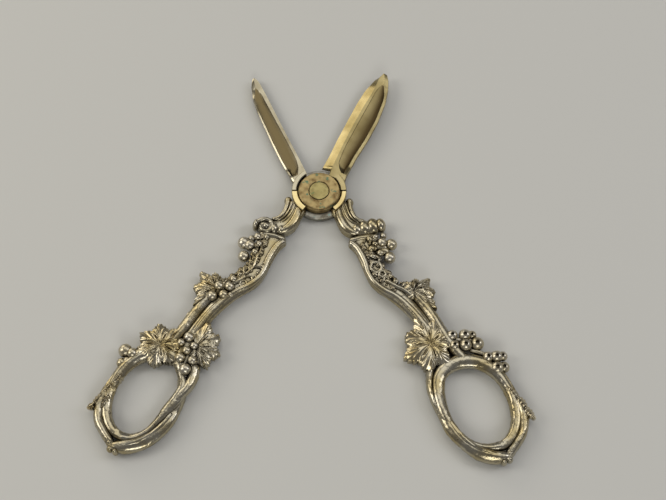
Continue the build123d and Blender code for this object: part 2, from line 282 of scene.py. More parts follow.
def bark_depth(seed, turn, along, grain):
    """How far the bark stands out at one place: long grooves, and chips across them."""
    around = Vector((math.cos(turn) * 1.6, math.sin(turn) * 1.6, along * 0.10 + seed * 7.3))
    chips = Vector((math.cos(turn) * 3.0, math.sin(turn) * 3.0, along * 0.9 + seed * 3.1))
    return grain * (1.2 * noise.noise(around) + 0.6 * noise.noise(chips))


def add_stem(bm, points, grain=0.10, seed=0.0, sides=18, step=0.6, closed=False, tip=(1.0, 1.0), twist=0.0):
    """points are (x, y, z, half width, half height) in mm; tip is how much of each end is rounded off."""
    path = smooth_path([tuple(p) for p in points], step, closed)
    lengths = [0.0]
    for a, b in zip(path, path[1:]):
        lengths.append(lengths[-1] + (b.xyz - a.xyz).length)
    loops = []
    for i, row in enumerate(path):
        here = Vector(row[:3])
        ahead = Vector(path[(i + 1) % len(path)][:3]) if closed or i + 1 < len(path) else here
        behind = Vector(path[i - 1][:3]) if closed or i else here
        along = (ahead - behind).normalized()
        across = along.cross(UP).normalized()
        over = across.cross(along)
        size = 1.0
        if not closed:
            for left, reach in ((lengths[i], tip[0] * row[3]), (lengths[-1] - lengths[i], tip[1] * row[3])):
                if reach and left < reach:
                    size *= math.sqrt(max(0.03, 1 - (1 - left / reach) ** 2))
        stand = Matrix((across * row[3] * size, over * row[4] * size, along)).transposed().to_4x4()
        stand.translation = here
        ring = bmesh.ops.create_circle(bm, segments=sides, radius=1, matrix=stand)["verts"]
        for k, vert in enumerate(ring):
            turn = math.tau * k / sides + twist * lengths[i]
            vert.co += (vert.co - here).normalized() * bark_depth(seed, turn, lengths[i], grain) * size
        loops.append(list({edge for vert in ring for edge in vert.link_edges}))
    for a, b in zip(loops, loops[1:] + loops[:1] if closed else loops[1:]):
        bmesh.ops.bridge_loops(bm, edges=a + b)
    if not closed:
        for ends in (loops[0], loops[-1]):
            bmesh.ops.contextual_create(bm, geom=ends)


def add_both_faces(bm, points, **options):
    """The same stem on the front and, mirrored about the mid plane, on the back."""
    add_stem(bm, points, **options)
    add_stem(bm, [(x, y, 2 * MID - z, wide, high) for x, y, z, wide, high in points], **options)


# %% [markdown]
# A grape is a ball with its poles up and down. Some carry the small dimple of the drill that dressed
# them, which is only the pole and its nearest ring of points pushed in.

# %% Grapes
def add_grape(bm, x, y, z, radius, dimple=False):
    place = Matrix.Translation((x, y, z))
    ball = bmesh.ops.create_uvsphere(bm, u_segments=20, v_segments=20, radius=radius, matrix=place)["verts"]
    if dimple:
        for vert in ball:
            off = math.hypot(vert.co.x - x, vert.co.y - y)
            if vert.co.z > z and off < radius * 0.25:
                vert.co.z -= radius * 0.45


def add_bunch(bm, grapes, dimple=False):
    for x, y, z, radius in grapes:
        add_grape(bm, x, y, z, radius, dimple)


# %% [markdown]
# A vine leaf starts as a disc spun round its stalk. Its rim is drawn out to the lobes' tips and cut into
# teeth, each lobe is folded along its own rib with side veins running off it, and a mirrored copy closes
# the leaf underneath.

# %% Leaves
LEAF_RINGS = 14
LEAF_STEPS = 144
TOOTH_COUNT = 38
TOOTH_DEPTH = 0.10  # share of the leaf's reach that a saw tooth cuts
LOBE_NOTCH = 0.24  # share of its reach that the rim draws in between two lobes
LOBE_FOLD = 0.95
VEIN_HEIGHT = 0.2
MIDRIB_HEIGHT, MIDRIB_REACH = 0.30, 0.35
LEAF_LIMIT = 2.9  # most a leaf may stand off the mid plane
LEAFLET_RIBS = 9


def across_lobe(angle, lobes):
    """Distance to the rim in this direction, and how far it is between two lobes: 0 on a rib, 1 midway."""
    for (a0, r0), (a1, r1) in zip(lobes, lobes[1:]):
        if a0 <= angle <= a1:
            t = (angle - a0) / (a1 - a0)
            return r0 + (r1 - r0) * t, 1 - abs(2 * t - 1)
    return lobes[0][1], 0.0


def add_leaf(bm, stalk, tips, crown, rim, seed=0.0):
    """crown and rim are half the leaf's thickness at its stalk and at its edge."""
    reaches = [Vector(tip) - Vector(stalk) for tip in tips]
    lobes = sorted((math.atan2(reach.y, reach.x), reach.length) for reach in reaches)
    lobes = [(lobes[-1][0] - math.tau, lobes[-1][1])] + lobes + [(lobes[0][0] + math.tau, lobes[0][1])]
    row = [bm.verts.new((k / LEAF_RINGS, 0, 0)) for k in range(LEAF_RINGS + 1)]
    spokes = [bm.edges.new(pair) for pair in zip(row, row[1:])]
    old = set(bm.verts) - set(row)
    bmesh.ops.spin(bm, geom=row + spokes, cent=(0, 0, 0), axis=(0, 0, 1), dvec=(0, 0, 0), angle=math.tau,
                   steps=LEAF_STEPS, use_merge=True)
    front = [vert for vert in bm.verts if vert not in old]
    for vert in front:
        share = vert.co.xy.length
        angle = math.atan2(vert.co.y, vert.co.x)
        rim_reach, between = across_lobe(angle, lobes)
        out = rim_reach * share * (1 - LOBE_NOTCH * between * share)
        saw = (angle * TOOTH_COUNT / math.tau) % 1
        out *= 1 - TOOTH_DEPTH * saw * share**4
        lift = min(1.0, share * 2.2)
        thick = crown + (rim - crown) * share**2
        thick += LOBE_FOLD * (0.5 - between**1.4) * lift * (1.25 - share)
        thick += VEIN_HEIGHT * math.cos(13 * between - 8 * share) * lift
        thick += MIDRIB_HEIGHT * math.exp(-((between * out / MIDRIB_REACH) ** 2)) * lift
        thick += 0.5 * noise.noise(Vector((vert.co.x * 1.7, vert.co.y * 1.7, seed))) * share
        thick -= 0.6 * max(0.0, 1 - share * 5)
        thick = max(0.35, min(LEAF_LIMIT, thick))
        vert.co = Vector((stalk[0] + out * math.cos(angle), stalk[1] + out * math.sin(angle), MID + thick))
    bmesh.ops.remove_doubles(bm, verts=front, dist=0.001)
    front = [vert for vert in front if vert.is_valid]
    faces = {face for vert in front for face in vert.link_faces}
    edges = {edge for vert in front for edge in vert.link_edges}
    copy = bmesh.ops.duplicate(bm, geom=front + list(edges) + list(faces))["geom"]
    for item in copy:
        if isinstance(item, bmesh.types.BMVert):
            item.co.z = 2 * MID - item.co.z
    rims = [edge for edge in list(edges) + copy if isinstance(edge, bmesh.types.BMEdge) and edge.is_boundary]
    bmesh.ops.bridge_loops(bm, edges=rims)


def add_leaflet(bm, x, y, long, wide, turn, crown, seed=0.0):
    """A small pointed leaf from its stalk at x, y, turned in degrees from the +X direction."""
    ahead = Vector((math.cos(math.radians(turn)), math.sin(math.radians(turn)))) * long
    rows = []
    for k in range(LEAFLET_RIBS + 1):
        share = k / LEAFLET_RIBS
        rib = 1.0 + 0.12 * (-1) ** k  # every second ring is thicker, which reads as a rib across the leaf
        half = wide * rib * math.sin(math.pi * (0.1 + 0.85 * share) ** 0.8)
        rows.append((x + ahead.x * share, y + ahead.y * share, MID, half, crown * rib * (1 - 0.25 * share)))
    add_stem(bm, rows, grain=0.05, seed=seed, sides=14, step=0.3)
    midrib = [(x + ahead.x * share, y + ahead.y * share, MID + crown * (1 - 0.25 * share), 0.2, 0.25)
              for share in (0.05, 0.5, 0.9)]
    add_both_faces(bm, midrib, grain=0.0, sides=8)


# %% [markdown]
# The steel blades are lofts too. A closed section of a few points is drawn at the root and extruded from
# station to station. Each point follows its own line down the blade: the cutting edge, the ridge beside
# it, the two borders of the ground hollow, and the back. The points in the hollow also carry how dark
# they are painted, which is painted shade. Lines drawn this way keep the ridges straight, which a sculpted
# blade would not.

# %% Blades
def follow(line, y):
    """Value at y on a line of (y, value) points."""
    if y <= line[0][0]:
        return line[0][1]
    for (y0, v0), (y1, v1) in zip(line, line[1:]):
        if y <= y1:
            return v0 + (v1 - v0) * (y - y0) / (y1 - y0)
    return line[-1][1]


def add_blade(bm, stations, section, painted_shade, root):
    """section(y) gives the points of the closed section at y. painted_shade is how dark those in the hollow
    are painted, as painted shade, and root lists the faces that close the first section, each by the numbers
    of its points."""
    hollow_shade = bm.verts.layers.float.new("hollow")
    first = [bm.verts.new(p) for p in section(stations[0])]
    ring = [bm.edges.new(pair) for pair in zip(first, first[1:] + first[:1])]
    for numbers in root:
        bm.faces.new([first[number] for number in numbers])
    for y in stations[1:]:
        made = bmesh.ops.extrude_edge_only(bm, edges=ring)["geom"]
        ring = [item for item in made if isinstance(item, bmesh.types.BMEdge)]
        verts = []
        for old in first:
            verts.append(next(e.other_vert(old) for e in old.link_edges if e.other_vert(old) in made))
        for vert, point in zip(verts, section(y)):
            vert.co = point
        # Each point in the hollow gets how dark it is painted: painted shade.
        for vert, brown in zip(verts[HOLLOW_FIRST:], painted_shade):
            vert[hollow_shade] = brown if HOLLOW_START < y < HOLLOW_END else 0.0
        first = verts
    bmesh.ops.contextual_create(bm, geom=ring)
    bmesh.ops.remove_doubles(bm, verts=bm.verts, dist=0.0005)


HOLLOW_START, HOLLOW_END = 10.8, 51.6
HOLLOW_FIRST = 4  # the first of a section's points that lie in the hollow
# How dark each point across the hollow is painted, as painted shade.
LOWER_PAINTED_SHADE = (0.9, 1.0, 1.0, 1.0, 0.8)
UPPER_PAINTED_SHADE = (0.0, 0.3, 0.45, 0.75, 1.0, 1.0)
LOWER_ENDS = [range(13)]
# The upper blade's root is closed by the end of its bevel, the step beside that and the rest.
UPPER_ENDS = [(0, 1, 2, 16), (2, 3, 15, 16), range(3, 16)]
HOLLOW_ENTRY, HOLLOW_EXIT, HOLLOW_ROUND = 2.2, 6.0, 4.0  # lengths over which it deepens, fades and narrows
ROOT_END, ROOT_LENGTH = 15.0, 5.4  # a blade thickens from here towards the joint, over this length


def hollow_depth(y, depth):
    """The wheel that grinds the hollow enters in a round end and leaves gently."""
    if not HOLLOW_START < y < HOLLOW_END:
        return 0.0
    entry = min(1.0, math.sqrt((y - HOLLOW_START) / HOLLOW_ENTRY))
    return depth * entry * min(1.0, (HOLLOW_END - y) / HOLLOW_EXIT)


def draw_together(first, last, y):
    """The two borders of the hollow, which run together in a round end before the tip."""
    share = math.sqrt(max(0.01, min(1.0, (HOLLOW_END - y) / HOLLOW_ROUND)))
    middle = (first + last) / 2
    return middle + (first - middle) * share, middle + (last - middle) * share


def root_rise(y, height):
    """How much a blade thickens near the joint, where it meets its shoulder."""
    t = max(0.0, min(1.0, (ROOT_END - y) / ROOT_LENGTH))
    return height * t * t * (3 - 2 * t)


LOWER_OUTER = [(6, -6.0), (9, -6.5), (12, -6.5), (19, -6.65), (27, -6.4), (35.4, -5.9), (42.1, -5.5),
        (47.4, -4.7), (52.4, -3.1), (54.6, -2.0), (56.0, -1.0)]
LOWER_INNER = [(6, -0.4), (9.9, -0.3), (17.5, -0.1), (27.7, 0.0), (38.4, 0.3), (48.1, 0.55), (52, 0.55),
        (54.3, 0.4), (56.0, -0.3)]
LOWER_STRIP = [(6, -4.6), (10.3, -3.6), (13.4, -1.9), (16.5, -1.2), (25.4, -1.0), (44.7, -0.9), (52, -0.7),
        (56.0, -0.6)]
LOWER_ROOT, LOWER_TIP = 7.0, 56.0
LOWER_TOP = 2.95
LOWER_FLOOR = 1.2
LOWER_RIM = 0.5  # width of the border between the hollow and the back


def lower_section(y):
    outer, inner = follow(LOWER_OUTER, y), follow(LOWER_INNER, y)
    wall, strip = outer + LOWER_RIM, min(follow(LOWER_STRIP, y), inner - 0.15)
    strip = max(strip, wall + 0.3)
    wall, strip = draw_together(wall, strip, y)
    sink = hollow_depth(y, 0.5)
    rise = root_rise(y, 1.4)
    quarter = (strip - wall) / 4
    points = [(outer + 0.25, LOWER_FLOOR), (outer, LOWER_FLOOR + 0.5), (outer, LOWER_TOP - 0.3 + rise),
              (wall, LOWER_TOP + rise),
              (wall + 0.12, LOWER_TOP - sink * 0.5 + rise), (wall + quarter, LOWER_TOP - sink * 0.9),
              (wall + 2 * quarter, LOWER_TOP - sink), (wall + 3 * quarter, LOWER_TOP - sink * 0.9),
              (strip - 0.1, LOWER_TOP - sink * 0.5), (strip, LOWER_TOP - 0.02), (inner, LOWER_TOP - 0.05),
              (inner, LOWER_TOP - 0.35), (max(inner - 2.2, outer + 0.4), LOWER_FLOOR)]
    return [(x, y, z) for x, z in points]


UPPER_OUTER = [(6, 6.0), (8.7, 6.4), (10.8, 6.0), (18.8, 6.0), (27.4, 6.55), (36.1, 6.5), (44.9, 5.5),
        (51, 3.8), (54.5, 2.2), (56.4, 0.8)]
UPPER_INNER = [(6, -3.6), (14.6, -3.6), (21.8, -4.0), (31.3, -4.2), (40.1, -4.3), (46.8, -4.0),
        (52.8, -2.7), (55.8, -1.4), (56.4, -0.9)]
UPPER_RIDGE = [(6, -0.6), (9.6, -0.3), (21.3, -1.0), (28.7, -1.2), (38, -1.2), (47.5, -0.9), (53.9, -1.3),
        (56.4, -0.7)]
UPPER_HOLLOW = [(8, 4.6), (10.6, 3.6), (12.0, 2.2), (14.2, 0.9), (18.0, 0.4), (22.2, 0.1), (33.4, 0.0),
        (45.2, 0.0), (51.6, -0.2), (56.4, -0.4)]
UPPER_FLOOR = 3.07
UPPER_TOP = 4.83
UPPER_RIM = 1.1
UPPER_ROOT, UPPER_TIP = 7.8, 56.4
SWEEP_RADIUS = 10.15  # the lower half's shoulder passes inside this as the blades close


def past_sweep(x, y):
    """Moves the root of a line on the cutting side out to the circle that the other half sweeps."""
    root = math.sqrt(SWEEP_RADIUS**2 - x**2)
    return root + (y - UPPER_ROOT) * (UPPER_TIP - root) / (UPPER_TIP - UPPER_ROOT)


def bevel_point(x, y, z):
    """A point on the cutting side; the root of the bevel is eased off towards the joint."""
    along = past_sweep(x, y)
    return x, along, min(z, UPPER_FLOOR + 0.35 + 1.2 * max(0.0, math.hypot(x, along) - SWEEP_RADIUS))


def upper_section(y):
    outer, inner = follow(UPPER_OUTER, y), follow(UPPER_INNER, y)
    ridge, hollow = max(follow(UPPER_RIDGE, y), inner + 0.15), follow(UPPER_HOLLOW, y)
    wall = outer - UPPER_RIM
    hollow = min(hollow, wall - 0.3)
    hollow, wall = draw_together(hollow, wall, y)
    sink = hollow_depth(y, 0.7)
    top = UPPER_TOP
    rise = root_rise(y, 1.1)
    quarter = (wall - hollow) / 4
    low = top - 0.1
    bevel = [(inner, UPPER_FLOOR), (inner, UPPER_FLOOR + 0.3), (ridge, top)]
    points = [(min(ridge + 0.5, hollow - 0.1), top), (hollow, top - 0.08), (hollow + 0.1, low - sink * 0.45),
              (hollow + quarter, low - sink * 0.85), (hollow + 2 * quarter, low - sink),
              (hollow + 3 * quarter, low - sink * 0.9), (wall - 0.1, low - sink * 0.5),
              (wall, top - 0.06 + rise), (outer - 0.15, top - 0.35 + rise), (outer, top - 0.7 + rise),
              (outer, UPPER_FLOOR + 0.3), (outer - 0.2, UPPER_FLOOR)]
    flat = [(-0.2, y, UPPER_FLOOR), bevel_point(-0.4, y, UPPER_FLOOR)]
    return [bevel_point(x, y, z) for x, z in bevel] + [(x, y, z) for x, z in points] + flat


def blade_stations(start, end):
    """Stations stand closer where the root and the tip are shaped."""
    fine, coarse, root_to, tip_from = 0.4, 1.2, 16, 48
    root = [start + fine * k for k in range(int((root_to - start) / fine))]
    middle = [root_to + coarse * k for k in range(27)]
    tip = [tip_from + fine * k for k in range(int((end - 0.6 - tip_from) / fine))]
    return root + middle + tip + [end - 0.6, end - 0.3, end]


bm = bmesh.new()
add_blade(bm, blade_stations(LOWER_ROOT, LOWER_TIP), lower_section, LOWER_PAINTED_SHADE, LOWER_ENDS)
finish_piece("lower_blade_ground", bm, LOWER_BLADE, "lower_half", lower_steel,
             ["lower_blade"], crease=22)
bm = bmesh.new()
add_blade(bm, blade_stations(UPPER_ROOT, UPPER_TIP), upper_section, UPPER_PAINTED_SHADE, UPPER_ENDS)
finish_piece("upper_blade_ground", bm, UPPER_BLADE, "upper_half", upper_steel,
             ["upper_blade"], crease=22)

# %% [markdown]
# The joint is turned work. Each ring, disc and shoulder is one profile spun about the pivot: all the way
# round for the discs and the pin, and through part of a turn for the shoulders that flank them. A lathe
# makes the real ones, so a spin gives the same true circles. The shoulders beside the blades take the
# blades' own steel, because they are ground in one with them.

# %% Turned joint
BOSS_RADIUS = 9.85
SHOULDER_INNER = 8.15
DISC_RADIUS = 7.4
GROOVE_RADIUS = 7.8  # the upper half's own shoulders start here, just outside its disc
BORE_RADIUS, PIN_RADIUS, HEAD_RADIUS = 2.7, 2.6, 3.5
LAP = 2.98  # the lower disc's upper face
TURNED_CREASE = 25
SLOT = 1.8  # degrees from the cross line to the end of each shoulder
HANDLE_ARC = 53.0  # from the cross line to the other end, beside each handle
LOWER_BLADE_ARC, UPPER_BLADE_ARC = 124.0, 42.0  # where the shoulders run into the blades


def turn_profile(bm, profile, start=0.0, end=360.0, steps=96):
    """Spins a closed profile of (radius, height) points about the pivot, between two angles in degrees."""
    whole = end - start >= 360.0
    verts = [bm.verts.new((r, 0, z)) for r, z in profile]
    follower = verts[1:] if whole and profile[0][0] == 0 else verts[1:] + verts[:1]
    edges = [bm.edges.new(pair) for pair in zip(verts, follower)]
    bmesh.ops.rotate(bm, verts=verts, cent=(0, 0, 0), matrix=Matrix.Rotation(math.radians(start), 3, "Z"))
    geom = verts + edges
    if not whole:
        geom.append(bm.faces.new(verts))
        bmesh.ops.duplicate(bm, geom=geom)
    bmesh.ops.spin(bm, geom=geom, cent=(0, 0, 0), axis=(0, 0, 1), dvec=(0, 0, 0),
                   angle=math.radians(end - start), steps=steps, use_merge=whole)
    bmesh.ops.remove_doubles(bm, verts=bm.verts, dist=0.001)


def shoulder_profile(inner, floor):
    """A flat-topped ring's section, with its two upper edges broken by a file."""
    soft = 0.22
    return [(inner, floor), (inner, TOP - soft), (inner + soft, TOP),
            (BOSS_RADIUS - soft, TOP), (BOSS_RADIUS, TOP - soft), (BOSS_RADIUS, floor)]


bm = bmesh.new()
turn_profile(bm, [(BORE_RADIUS, 0.02), (BOSS_RADIUS - 0.7, 0.0), (BOSS_RADIUS - 0.25, 0.25),
                  (BOSS_RADIUS, 0.8), (BOSS_RADIUS, 2.55), (BOSS_RADIUS - 0.35, 2.9),
                  (BOSS_RADIUS - 0.8, LAP), (BORE_RADIUS, LAP)])
finish_piece("lower_disc", bm, TO_METRES, "lower_half", rim_silver, ["lower_blade"],
             crease=TURNED_CREASE)

# Each shoulder: its name, half, the angles it runs between, and its steel.
SHOULDERS = [("lower_blade_shoulder", "lower", LOWER_BLADE_ARC, 180.0 - SLOT, lower_steel),
             ("lower_shoulders", "lower", -HANDLE_ARC, -SLOT, shoulder_steel_painted_bright),
             ("upper_blade_shoulder", "upper", SLOT, UPPER_BLADE_ARC, upper_steel),
             ("upper_shoulders", "upper", 180.0 + SLOT, 180.0 + HANDLE_ARC, shoulder_steel_painted_bright)]
SHOULDER_FOOT = {"lower": (SHOULDER_INNER, 2.9), "upper": (GROOVE_RADIUS, UPPER_FLOOR)}  # inner radius, z
for name, half, start, end, steel in SHOULDERS:
    bm = bmesh.new()
    turn_profile(bm, shoulder_profile(*SHOULDER_FOOT[half]), start, end, 40)
    finish_piece(name, bm, TO_METRES, f"{half}_half", steel, [f"{half}_blade"],
                 crease=TURNED_CREASE)

bm = bmesh.new()
turn_profile(bm, [(BORE_RADIUS, UPPER_FLOOR), (DISC_RADIUS + 0.35, UPPER_FLOOR), (DISC_RADIUS + 0.35, 5.0),
                  (DISC_RADIUS, 5.2), (DISC_RADIUS, 5.7), (DISC_RADIUS - 0.3, 5.96), (3.9, 5.97),
        (3.66, 5.75), (3.66, 4.9), (BORE_RADIUS, 4.9)])
finish_piece("upper_disc", bm, TO_METRES, "upper_half", disc_brass, ["upper_blade"],
             crease=TURNED_CREASE)

bm = bmesh.new()
turn_profile(bm, [(0, 0), (3.3, 0), (3.3, 0.2), (PIN_RADIUS, 1.0), (PIN_RADIUS, 4.85), (HEAD_RADIUS, 4.85),
                  (HEAD_RADIUS, 5.85), (3.32, 5.99), (0, TOP)])
finish_piece("pivot_pin_turned", bm, TO_METRES, "lower_half", pin_brass, ["pivot_pin"],
             crease=TURNED_CREASE)

# %% [markdown]
# The vine's own stems come next. Both handles share the fluted scroll at the joint, the broad stem with
# its ridges, and the strand beside it. The ornament on them differs, and so does the way the strands of
# the finger loop cross. A stem could be a curve with a bevel, but rings of points swept along a course let
# each stretch have its own width and height.

# %% Vine courses
# Each point of a course: x, y, z, half width, half height, all in millimetres.
scroll_core = [(5.0, -6.6, 3.0, 3.6, 1.9), (4.4, -9.5, 3.0, 3.9, 2.0), (4.0, -12.5, 3.0, 3.5, 2.0),
        (4.2, -16.0, 3.0, 3.6, 2.0), (6.2, -19.2, 3.0, 3.4, 2.1), (9.4, -20.6, 3.0, 2.8, 2.1),
        (12.8, -21.2, 3.0, 2.3, 2.0)]
scroll_flutes = [
    [(3.4, -8.4, 4.1, 1.4, 1.3), (2.5, -11.5, 4.2, 1.6, 1.4), (2.2, -14.5, 4.3, 1.7, 1.5),
     (2.5, -17.2, 4.3, 1.7, 1.5), (3.7, -19.5, 4.2, 1.4, 1.3), (5.6, -21.2, 3.9, 0.9, 1.0)],
    [(5.0, -8.4, 4.5, 0.5, 0.9), (4.6, -12.0, 4.6, 0.5, 0.9), (4.8, -15.0, 4.6, 0.5, 0.9),
     (6.0, -17.8, 4.4, 0.5, 0.8)],
    [(6.3, -8.2, 4.4, 0.45, 0.9), (5.8, -12.0, 4.5, 0.45, 0.9), (6.0, -15.0, 4.5, 0.45, 0.9),
     (7.4, -17.6, 4.3, 0.4, 0.8)],
    [(8.4, -7.4, 3.9, 1.0, 1.3), (7.4, -10.5, 4.0, 0.9, 1.2), (7.0, -13.4, 4.1, 0.9, 1.2),
     (7.6, -16.0, 4.2, 0.8, 1.1), (9.6, -17.6, 3.8, 0.9, 1.0)]]
stem_course = [(5.2, -21.8, 3.0, 4.4, 1.7), (5.2, -25.0, 3.0, 4.3, 1.5), (4.8, -29.0, 3.0, 3.7, 1.45),
        (4.3, -33.0, 3.0, 3.5, 1.45), (4.3, -38.0, 3.0, 3.8, 1.5), (5.4, -43.0, 3.0, 3.7, 1.6),
        (7.6, -49.0, 3.0, 3.1, 1.8), (8.9, -54.0, 3.0, 2.7, 2.0), (10.0, -60.0, 3.0, 2.5, 2.0),
        (10.4, -66.0, 3.0, 2.6, 2.0), (10.2, -72.0, 3.0, 3.0, 2.0), (9.4, -78.0, 3.0, 3.0, 1.8)]
inner_ridge = [(0.7, -22.4, 4.0, 1.0, 1.0), (1.9, -23.9, 4.2, 1.2, 1.1), (2.5, -26.2, 4.4, 1.2, 1.1),
        (2.6, -29.6, 4.4, 1.2, 1.1), (2.3, -32.8, 4.5, 1.1, 1.0), (1.6, -36.0, 4.5, 0.9, 0.9),
        (1.8, -40.0, 4.6, 1.0, 1.0), (3.4, -44.0, 4.6, 1.1, 1.0), (6.2, -48.2, 4.5, 1.1, 1.0),
        (7.9, -52.4, 4.4, 1.2, 1.0), (9.2, -57.4, 4.4, 1.3, 1.0), (10.0, -63.0, 4.3, 1.3, 1.0),
        (10.2, -68.5, 4.2, 1.1, 0.9)]
outer_ridge = [(5.6, -41.0, 4.6, 0.7, 0.8), (7.4, -44.4, 4.7, 0.8, 0.8), (9.8, -47.6, 4.6, 0.8, 0.8),
        (11.6, -51.6, 4.5, 0.8, 0.7)]
shelf_course = [(0.9, -22.2, 3.4, 1.1, 1.9), (4.4, -22.6, 3.4, 1.2, 1.9), (8.0, -23.6, 3.3, 1.3, 1.9),
        (10.6, -24.8, 3.1, 1.2, 1.6)]
strand_course = [(9.8, -46.0, 3.2, 1.2, 1.6), (12.2, -51.0, 3.2, 1.9, 2.0), (13.5, -56.0, 3.2, 2.0, 2.1),
        (14.2, -62.0, 3.2, 2.0, 2.1), (14.5, -68.0, 3.1, 2.1, 2.1), (15.4, -75.0, 3.0, 2.0, 2.0),
        (16.6, -79.6, 3.0, 1.8, 1.9)]
ring_outside = [(12.9, -109.6, 3.0, 1.6, 1.8), (17.6, -108.2, 3.0, 1.7, 1.9), (21.6, -104.2, 3.0, 1.8, 1.9),
        (23.9, -98.6, 3.0, 1.8, 2.0), (24.5, -92.6, 3.0, 2.0, 2.1), (23.5, -86.8, 3.0, 2.3, 2.2),
        (20.5, -81.7, 3.0, 2.5, 2.2), (15.6, -78.7, 3.0, 2.6, 2.2), (10.4, -78.2, 3.0, 2.5, 2.1)]
FINGER_RING = {
    "right": ring_outside + [(5.9, -80.0, 3.0, 2.3, 2.1), (2.9, -84.6, 3.1, 2.1, 2.1),
        (1.4, -90.2, 3.2, 2.0, 2.1), (1.2, -96.0, 3.1, 1.8, 1.9),
        (2.9, -102.4, 3.0, 1.3, 1.7), (7.2, -107.4, 3.0, 1.3, 1.7)],
    "left": ring_outside + [(6.6, -81.6, 2.9, 1.6, 1.7), (3.6, -85.2, 3.3, 1.8, 1.8),
        (2.9, -89.4, 3.6, 2.0, 1.9), (3.4, -94.2, 3.6, 1.9, 1.9),
        (4.0, -99.2, 3.2, 1.6, 1.8), (5.4, -104.2, 3.0, 1.4, 1.7),
        (8.6, -108.3, 3.0, 1.5, 1.7)]}
branch_foot = [(2.6, -103.8, 3.0, 2.2, 2.2), (5.2, -108.4, 3.0, 2.4, 2.3), (8.6, -111.6, 3.0, 2.4, 2.3),
        (11.8, -113.2, 3.0, 1.9, 2.0), (14.0, -113.6, 3.0, 1.2, 1.6)]
BRANCH = {
    "right": [(6.8, -73.0, 3.0, 1.3, 1.6), (3.6, -77.6, 3.1, 1.3, 1.8), (1.2, -82.0, 3.2, 1.2, 1.8),
        (0.2, -86.6, 3.2, 1.1, 1.8), (0.4, -91.4, 3.0, 1.4, 1.9),
        (0.7, -97.6, 3.0, 2.0, 2.1)] + branch_foot,
    "left": [(8.6, -74.0, 3.0, 1.8, 1.8), (7.0, -79.0, 2.9, 1.8, 1.9), (4.8, -83.4, 2.5, 1.8, 1.9),
        (2.6, -88.0, 2.3, 1.8, 1.9), (1.4, -93.0, 2.5, 1.8, 1.9),
        (1.3, -98.4, 3.0, 2.0, 2.1)] + branch_foot}
BRANCH_RIDGE = [(1.4, -95.0, 4.4, 0.5, 0.7), (2.4, -101.0, 4.8, 0.8, 0.7), (4.6, -106.4, 4.9, 0.8, 0.7),
        (7.8, -110.2, 4.8, 0.9, 0.7), (11.2, -112.6, 4.5, 0.7, 0.7)]
TIP_LUMPS = [(12.0, -113.2, 1.5), (14.0, -113.2, 1.2), (12.8, -114.8, 1.2), (10.8, -114.8, 1.1),
        (10.2, -112.6, 1.2)]
# One more strand of the left loop comes down from the bunch on the outside, over the branch.
LEFT_CROSSING = [(4.0, -76.6, 3.3, 1.6, 1.8), (2.4, -80.6, 3.4, 1.7, 1.9), (1.8, -84.6, 3.7, 1.8, 1.9),
        (2.6, -89.0, 3.7, 1.7, 1.9), (4.0, -94.0, 3.4, 1.4, 1.7)]
twig_course = [(23.4, -84.0, 3.0, 1.2, 1.5), (25.4, -89.0, 3.0, 0.9, 1.5), (25.4, -94.0, 3.0, 1.0, 1.6),
        (25.2, -99.0, 3.1, 1.3, 1.9), (24.2, -104.2, 3.1, 1.6, 2.0), (21.6, -108.4, 3.0, 1.7, 2.1),
        (17.8, -111.0, 3.0, 1.6, 2.1), (14.4, -112.8, 3.0, 1.5, 2.0), (11.4, -115.0, 3.0, 1.0, 1.6)]

# The barrel of the right scroll is four rolls side by side. The left one ends in a volute round a bead.
# Each roll: x, y, half width, half length.
ROLLS = {
    "right": [(5.6, -19.2, 2.2, 2.6), (8.4, -19.6, 2.4, 3.1), (11.4, -20.3, 2.4, 3.2),
        (14.0, -21.1, 1.9, 2.7)],
    "left": [(4.4, -19.6, 1.5, 2.2), (6.6, -20.3, 1.6, 2.5), (13.4, -21.9, 1.2, 2.2),
        (10.0, -20.9, 3.2, 2.6)]}
VOLUTE = [(13.4, -23.4, 4.2, 0.8, 1.0), (13.2, -21.0, 4.5, 0.8, 1.0), (11.6, -19.0, 4.8, 0.8, 0.9),
          (9.2, -18.7, 4.9, 0.8, 0.8), (7.5, -20.4, 4.9, 0.8, 0.8), (8.2, -22.6, 4.9, 0.7, 0.7),
          (10.4, -23.0, 4.9, 0.6, 0.7), (11.7, -21.6, 4.9, 0.5, 0.6)]
VOLUTE_BEAD = (9.7, -20.9, 1.2)
ROLL_TURN = -0.28  # radians that the rolls lean from the handle's length
# Lumps of foliage (x, y, half width) between the bunch and the stem, and on down the stem's outer side.
FOLIAGE = {
    "right": [(7.7, -24.8, 1.5), (9.9, -24.9, 1.3), (6.7, -28.4, 1.5), (5.8, -31.2, 1.2), (8.7, -27.2, 1.2),
        (7.8, -40.6, 1.0), (8.6, -43.2, 1.1), (10.6, -45.6, 1.0), (7.2, -33.6, 0.9)],
    "left": [(7.2, -24.6, 1.2), (8.2, -28.2, 1.1), (6.4, -27.0, 0.9), (8.0, -41.6, 1.1), (7.4, -35.4, 0.9),
        (8.8, -43.8, 1.0)]}
# The ground between the ridge and the stem's outer edge is beaded all over with small grains.
GRAINS = 56
GRAIN_SIZE, GRAIN_RANGE = 0.75, 0.32
GRAIN_SPREAD = {"right": (0.0, 2.1), "left": (1.3, 1.3)}  # outward from the middle line, and to either side
GRAIN_START, GRAIN_END = -24.0, -47.0
GRAIN_MIDDLE = [(24.0, 6.6), (30.0, 6.0), (36.0, 5.0), (40.0, 6.0), (44.0, 7.6), (47.0, 9.4)]
# Small raised rings (x, y, reach, thickness) on each stem.
EYES = {"right": [(4.9, -35.4, 1.9, 0.55), (5.7, -38.6, 1.15, 0.45), (6.0, -41.0, 0.8, 0.35)],
        "left": [(6.9, -39.0, 1.1, 0.4), (5.1, -44.0, 1.2, 0.4)]}
